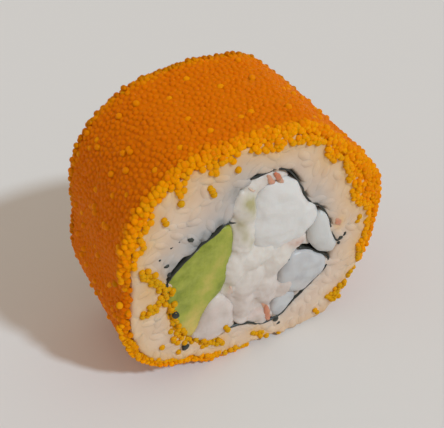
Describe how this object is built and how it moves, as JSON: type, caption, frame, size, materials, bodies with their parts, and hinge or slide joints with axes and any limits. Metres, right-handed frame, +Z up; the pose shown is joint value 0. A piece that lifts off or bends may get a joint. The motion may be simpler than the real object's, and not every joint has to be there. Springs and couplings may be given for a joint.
{
  "type": "inside-out sushi roll piece",
  "caption": "Cut piece of an inside-out sushi roll: crab meat and avocado in nori, wrapped in rice and coated all round in small orange fish roe.",
  "frame": {"origin": "at the floor, under the middle of the piece's bounding box", "axes": "+Y along the roll's axis, with the front cut face looking along -Y; +X to the right seen from that face; +Z up"},
  "size_m": [0.0414, 0.0216, 0.0415],
  "materials": {
    "roe_coat": "glossy small orange fish eggs, packed close",
    "rice": "moist cooked short-grain rice, satin",
    "nori": "damp dark green seaweed sheet, satin",
    "avocado": "soft ripe green flesh, satin",
    "crab_large": "moist white crab meat, satin",
    "crab_right": "moist white crab meat, satin",
    "crab_grey": "moist translucent grey-white crab meat",
    "crab_strip": "moist white crab meat, satin",
    "crab_wedge": "moist translucent grey-white crab meat",
    "crab_shreds": "moist shredded crab meat with pink tints"
  },
  "bodies": {
    "root": {"roe_coat": "roe_coat", "rice": "rice", "nori": "nori", "avocado": "avocado", "crab_large": "crab_large", "crab_right": "crab_right", "crab_grey": "crab_grey", "crab_strip": "crab_strip", "crab_wedge": "crab_wedge", "crab_shreds": "crab_shreds"}
  },
  "joints": []
}
